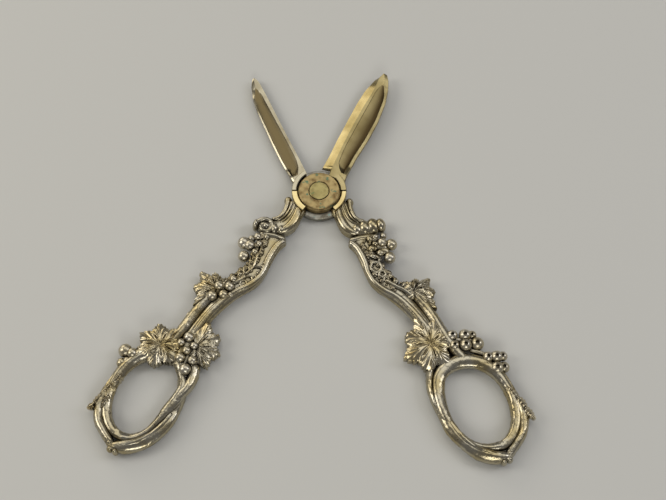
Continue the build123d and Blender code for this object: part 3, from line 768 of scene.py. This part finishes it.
# Thin raised lines on the left stem, and the short bars cut across its inner side.
LEFT_LINES = [[(7.0, -31.0), (5.9, -34.0), (5.4, -37.2), (6.2, -40.2)],
              [(6.4, -37.4), (3.2, -36.0), (0.8, -36.6)],
              [(6.0, -41.6), (3.8, -40.6), (2.2, -42.6)]]
LEFT_BARS = [-32.4, -33.8, -35.1, -38.2, -39.6]


def ring_course(x, y, z, reach, thick):
    """A closed ring of a stem's points about one centre."""
    return [(x + reach * math.cos(a), y + reach * math.sin(a), z, thick, thick)
            for a in (math.tau * k / 12 for k in range(12))]


def add_lump(bm, x, y, z, wide, long, high, turn=0.0, sides=18):
    """A ball with its own three half sizes, turned about the upright."""
    turned = Matrix.Rotation(turn, 4, "Z") @ Matrix.Diagonal((wide, long, high, 1))
    shape = Matrix.Translation((x, y, z)) @ turned
    bmesh.ops.create_uvsphere(bm, u_segments=sides, v_segments=sides - 2, radius=1, matrix=shape)


def both_heights(z):
    """This height and its mirror image on the other face."""
    return (z, 2 * MID - z)


print("points round each finger ring:", {hand: len(course) for hand, course in FINGER_RING.items()})

# %% [markdown]
# Each handle was cast in one piece and then chased by hand. Here it is laid up the way the modeller would
# have rolled it in wax: a core first, then the ridges, lumps and rings pressed on to it. Everything that
# stands on a face is made twice, because the back is worked like the front.

# %% Cast the vine of each handle
for hand, (place, body) in HANDS.items():
    seed = 1.0 if hand == "right" else 2.0

    bm = bmesh.new()
    add_stem(bm, scroll_core, grain=0.06, seed=seed, sides=24, tip=(0.3, 1.0))
    for course in scroll_flutes:
        add_both_faces(bm, course, grain=0.03, seed=seed, sides=14, tip=(0.8, 1.5))
    add_lump(bm, 8.3, -8.0, MID, 1.4, 1.5, 2.2)
    for x, y, wide, long in ROLLS[hand]:
        add_lump(bm, x, y, MID, wide, long, 2.2 if wide > 3 else 2.8, ROLL_TURN, 28)
    if hand == "left":
        add_both_faces(bm, VOLUTE, grain=0.03, sides=12)
        x, y, size = VOLUTE_BEAD
        for z in both_heights(4.7):
            add_lump(bm, x, y, z, size, size, 1.0)
    finish_piece(f"{hand}_scroll_cast", bm, place, body, vine_plate, [f"{hand}_root_scroll"])

    bm = bmesh.new()
    add_stem(bm, stem_course, grain=0.14, seed=seed + 0.2, sides=28, tip=(0.4, 1.0))
    add_stem(bm, shelf_course, grain=0.10, seed=seed + 0.3, sides=16)
    for course in (inner_ridge, outer_ridge):
        add_both_faces(bm, course, grain=0.08, seed=seed + 0.4, sides=14, tip=(1.0, 1.5))
    for x, y, size in FOLIAGE[hand]:
        for z in both_heights(4.5):
            add_lump(bm, x, y, z, size, size * 0.8, size * 0.9, x)
    for x, y, reach, thick in EYES[hand]:
        for z in both_heights(4.75):
            add_stem(bm, ring_course(x, y, z, reach, thick), grain=0.03, sides=10, closed=True)
    if hand == "left":
        for line in LEFT_LINES:
            add_both_faces(bm, [(x, y, 4.7, 0.4, 0.5) for x, y in line], grain=0.02, sides=8)
        for y in LEFT_BARS:
            bar = [(0.9, y - 0.8, 4.5, 0.3, 0.5), (3.6, y + 0.4, 4.7, 0.3, 0.5)]
            add_both_faces(bm, bar, grain=0.02, sides=8)
    finish_piece(f"{hand}_stem_cast", bm, place, body, vine_plate, [f"{hand}_vine_stem"])

    bm = bmesh.new()
    for k in range(GRAINS):
        y = GRAIN_START + (GRAIN_END - GRAIN_START) * k / GRAINS
        outward, either_side = GRAIN_SPREAD[hand]
        x = follow(GRAIN_MIDDLE, -y) + outward + either_side * math.sin(k * 2.4 + seed)
        size = GRAIN_SIZE + GRAIN_RANGE * math.sin(k * 1.7 + seed * 2)
        for z in both_heights(4.45):
            add_lump(bm, x, y, z, size * 1.2, size, 0.7, k, 10)
    finish_piece(f"{hand}_grain_cast", bm, place, body, grain_plate, [f"{hand}_vine_stem"])

    bm = bmesh.new()
    add_stem(bm, strand_course, grain=0.24, seed=seed + 0.6, twist=0.04)
    finish_piece(f"{hand}_strand_cast", bm, place, body, vine_plate, [f"{hand}_outer_strand"])

    bm = bmesh.new()
    add_stem(bm, FINGER_RING[hand], grain=0.22, seed=seed + 0.8, closed=True)
    finish_piece(f"{hand}_ring_cast", bm, place, body, vine_plate, [f"{hand}_finger_ring"])

    bm = bmesh.new()
    add_stem(bm, BRANCH[hand], grain=0.26, seed=seed + 1.0, twist=0.03)
    if hand == "left":
        add_stem(bm, LEFT_CROSSING, grain=0.22, seed=seed + 1.1, twist=0.05)
    add_both_faces(bm, BRANCH_RIDGE, grain=0.16, seed=seed, sides=12)
    for k, (x, y, size) in enumerate(TIP_LUMPS):
        add_lump(bm, x, y, MID, size, size, 1.9 + 0.4 * (k % 2), k)
    finish_piece(f"{hand}_branch_cast", bm, place, body, vine_plate, [f"{hand}_loop_branch"])

    bm = bmesh.new()
    add_stem(bm, twig_course, grain=0.22, seed=seed + 1.2, twist=0.05)
    finish_piece(f"{hand}_twig_cast", bm, place, body, vine_plate, [f"{hand}_loop_twig"])

# %% [markdown]
# Leaves and bunches differ from one handle to the other, so each is listed with its own places. Vine
# leaves were modelled flat and pressed on to the stems, with their tips just lifting off.

# %% Leaves of both handles
# Each leaf: where its stalk joins, its lobes' tips, half its thickness at the crown and at the rim.
LEAVES = {
    "right_middle_leaf": ((12.4, -49.2), [(10.6, -44.2), (15.4, -45.0), (20.2, -47.0), (19.6, -52.2),
        (16.6, -58.8), (11.0, -52.0)], 2.5, 1.2),
    "right_knuckle_leaf": ((8.6, -68.9), [(8.6, -57.4), (14.2, -61.4), (14.6, -70.0), (10.4, -78.2),
        (3.4, -77.8), (-2.2, -69.4), (2.2, -61.4)], 2.7, 1.7),
    "left_middle_leaf": ((11.7, -50.1), [(10.4, -44.2), (15.9, -44.8), (21.2, -47.2), (20.2, -53.4),
        (16.2, -59.6), (11.0, -52.0)], 2.5, 1.2),
    "left_knuckle_leaf": ((17.6, -76.9), [(14.6, -68.8), (22.4, -70.4), (26.4, -77.0), (24.0, -84.2),
        (16.4, -85.0), (10.6, -80.4), (11.0, -72.8)], 2.7, 1.7),
    "left_inner_leaf": ((6.6, -72.0), [(7.6, -61.4), (1.8, -63.8), (-1.6, -69.8), (-0.2, -76.4),
        (4.4, -78.6), (8.8, -73.0)], 2.5, 1.3)}
for count, (node, (stalk, tips, crown, rim)) in enumerate(LEAVES.items()):
    place, body = HANDS[node.split("_")[0]]
    bm = bmesh.new()
    add_leaf(bm, stalk, tips, crown, rim, seed=count * 3.7)
    finish_piece(node + "_cast", bm, place, body, leaf_plate, [node], crease=50)

# Small leaves lie along the outside of each loop: x, y, length, half width, direction, half thickness.
LEAFLETS = {
    "right": [(24.4, -93.0, 6.2, 1.5, -82, 2.5), (25.2, -97.6, 5.8, 1.7, -76, 2.4),
        (25.6, -101.8, 5.4, 1.6, -72, 2.1)],
    "left": [(23.6, -91.6, 5.6, 1.5, -82, 2.6), (24.0, -96.0, 5.6, 1.6, -70, 2.6),
        (23.2, -99.6, 5.6, 1.5, -96, 2.7), (25.0, -100.6, 5.4, 1.4, -76, 2.3),
        (25.6, -105.0, 2.8, 1.3, -56, 2.0)]}
for hand, leaflets in LEAFLETS.items():
    place, body = HANDS[hand]
    bm = bmesh.new()
    for count, leaflet in enumerate(leaflets):
        add_leaflet(bm, *leaflet, seed=count * 2.3)
    finish_piece(f"{hand}_loop_leaf_cast", bm, place, body, leaflet_plate,
                 [f"{hand}_loop_leaf"], crease=50)

# %% [markdown]
# A bunch is a heap of balls that just bite into one another, held by a short stalk that runs through it.
# Placing each grape one by one gives the uneven heaps of the casting, which a scatter would spread too
# evenly.

# %% Bunches of both handles
# Each grape: x, y, z, radius.
BUNCHES = {
    "right_upper_grapes": [(14.0, -29.5, 3.3, 2.1), (11.2, -27.8, 4.2, 1.8), (11.1, -33.8, 3.3, 2.1),
        (13.0, -25.3, 3.4, 1.2), (8.8, -31.2, 4.4, 1.3), (10.8, -30.8, 3.0, 1.7),
        (9.6, -25.2, 3.8, 1.4)],
    "right_knuckle_grapes": [(16.6, -69.2, 4.1, 1.92), (20.5, -71.0, 4.0, 2.15), (15.6, -72.7, 4.2, 1.81),
        (19.0, -74.3, 4.3, 2.15), (22.9, -75.4, 3.4, 2.37), (22.9, -71.8, 3.2, 1.58)],
    "right_outer_grapes": [(23.8, -81.3, 3.9, 1.92), (26.4, -82.4, 3.8, 2.15), (28.5, -83.0, 3.2, 1.69),
        (24.6, -86.0, 3.8, 2.37), (27.0, -86.6, 3.1, 1.92)],
    "left_upper_grapes": [(13.4, -30.1, 3.3, 2.3), (10.9, -30.2, 4.2, 1.9), (10.8, -34.6, 3.3, 2.1),
        (10.2, -25.9, 4.2, 1.4), (8.1, -28.2, 4.6, 1.1), (7.9, -31.6, 4.6, 1.2),
        (11.8, -27.4, 3.2, 1.4)],
    "left_middle_grapes": [(11.9, -49.0, 4.9, 1.8), (12.0, -53.2, 4.9, 1.8), (8.9, -51.0, 5.0, 1.7),
        (8.6, -47.4, 5.0, 1.8), (8.8, -44.4, 5.1, 1.3), (6.7, -49.8, 4.9, 1.0)],
    "left_knuckle_grapes": [(10.7, -70.0, 4.9, 1.9), (12.0, -73.0, 5.1, 1.4), (8.8, -74.5, 5.2, 1.5),
        (7.5, -71.8, 5.2, 1.4), (9.4, -77.6, 4.9, 1.8), (5.4, -76.5, 4.9, 1.6),
        (5.8, -80.2, 4.6, 2.1)],
    "left_outer_grapes": [(27.4, -84.2, 3.2, 2.4), (24.6, -84.0, 4.0, 1.9), (26.1, -88.4, 3.0, 1.8),
        (24.9, -86.9, 3.4, 1.4)]}
FACE_MIDDLE = 3.55  # bunches on the faces are mirrored about this height, so they clear the table
DIMPLED = ("right_knuckle_grapes", "right_outer_grapes")
STALKS = {"right_knuckle_grapes": [(14.6, -69.6, 3.0, 1.0, 1.3), (18.2, -71.6, 3.0, 1.2, 1.4),
        (22.4, -73.8, 3.0, 0.8, 1.2)],
          "right_outer_grapes": [(19.4, -76.0, 3.0, 0.7, 1.1), (23.0, -79.4, 3.0, 0.9, 1.2),
        (25.8, -83.6, 3.0, 1.3, 1.4)],
          "right_upper_grapes": [(8.0, -27.4, 3.2, 1.6, 1.6), (12.4, -30.4, 3.0, 1.4, 1.4)],
          "left_upper_grapes": [(8.0, -28.6, 3.2, 1.6, 1.6), (12.2, -31.2, 3.0, 1.4, 1.4)],
          "left_outer_grapes": [(22.4, -84.4, 3.0, 1.2, 1.3), (25.8, -86.4, 3.0, 1.3, 1.3)]}
for node, grapes in BUNCHES.items():
    hand = node.split("_")[0]
    place, body = HANDS[hand]
    bm = bmesh.new()
    add_bunch(bm, grapes, node in DIMPLED)
    if node in STALKS:
        add_stem(bm, STALKS[node], grain=0.12, seed=1.5, sides=14)
    if "middle" in node or node == "left_knuckle_grapes":
        add_bunch(bm, [(x, y, 2 * FACE_MIDDLE - z, radius) for x, y, z, radius in grapes])
    finish_piece(node + "_cast", bm, place, body, grape_plate, [node], crease=70)

# %% [markdown]
# The scissors lie on a plain pale floor. A large soft panel above and behind gives the flat steel its
# sheen. A warm window low at the back and one on the left catch the bevels and the castings' ridges. A
# weaker, cooler one on the right lifts their shaded sides. A panel in front keeps the loops from going
# dark, and an even grey surround fills the rest.

# %% Floor, lights and camera
floor_material = new_material("pale_floor")
floor_shader = add_node(floor_material, "BsdfPrincipled",
                        values={"Base Color": linear("#CCCCC6"), "Roughness": 0.9})
add_node(floor_material, "OutputMaterial", {"Surface": floor_shader.outputs[0]})
bm = bmesh.new()
bmesh.ops.create_grid(bm, x_segments=1, y_segments=1, size=3.0)
floor_mesh = bpy.data.meshes.new("floor")
bm.to_mesh(floor_mesh)
bm.free()
floor_mesh.materials.append(floor_material)
floor = bpy.data.objects.new("floor", floor_mesh)
bpy.context.scene.collection.objects.link(floor)


def soft_light(name, at, towards, size, power, colour):
    """A rectangular area light of this size in metres, aimed at a point."""
    data = bpy.data.lights.new(name, "AREA")
    data.shape = "RECTANGLE"
    data.size, data.size_y = size
    data.energy = power
    data.color = linear(colour)[:3]
    light = bpy.data.objects.new(name, data)
    light.location = at
    light.rotation_euler = (Vector(towards) - Vector(at)).to_track_quat("-Z", "Y").to_euler()
    bpy.context.scene.collection.objects.link(light)
    print(f"{name}: {power} W")


CENTRE = (0.0, -0.03, 0.0)
soft_light("panel_above", (0.15, 0.5, 1.1), CENTRE, (1.2, 0.8), 3.7, "#FFFCF6")
soft_light("window_back", (-0.65, 0.85, 0.45), CENTRE, (0.8, 0.5), 2.8, "#FFF6E4")
soft_light("window_left", (-0.8, 0.0, 0.6), CENTRE, (0.45, 0.6), 3.0, "#FFFAF2")
soft_light("window_right", (0.8, 0.1, 0.65), CENTRE, (0.3, 0.5), 1.9, "#F6F6FF")
soft_light("panel_front", (0.1, -0.85, 0.5), CENTRE, (0.5, 0.25), 1.8, "#FFFDF8")

world = bpy.data.worlds.new("studio")
world.use_nodes = True
world.node_tree.nodes["Background"].inputs["Color"].default_value = linear("#98979A")
world.node_tree.nodes["Background"].inputs["Strength"].default_value = 0.55
bpy.context.scene.world = world

camera_data = bpy.data.cameras.new("camera")
camera_data.lens = 59.46
camera_data.sensor_width = 36.0
camera = bpy.data.objects.new("camera", camera_data)
camera.location = (0.0050, -0.1863, 0.3549)
camera.rotation_euler = (math.radians(25.0), 0.0, 0.0)
bpy.context.scene.collection.objects.link(camera)
bpy.context.scene.camera = camera
bpy.context.scene.view_settings.view_transform = "Standard"
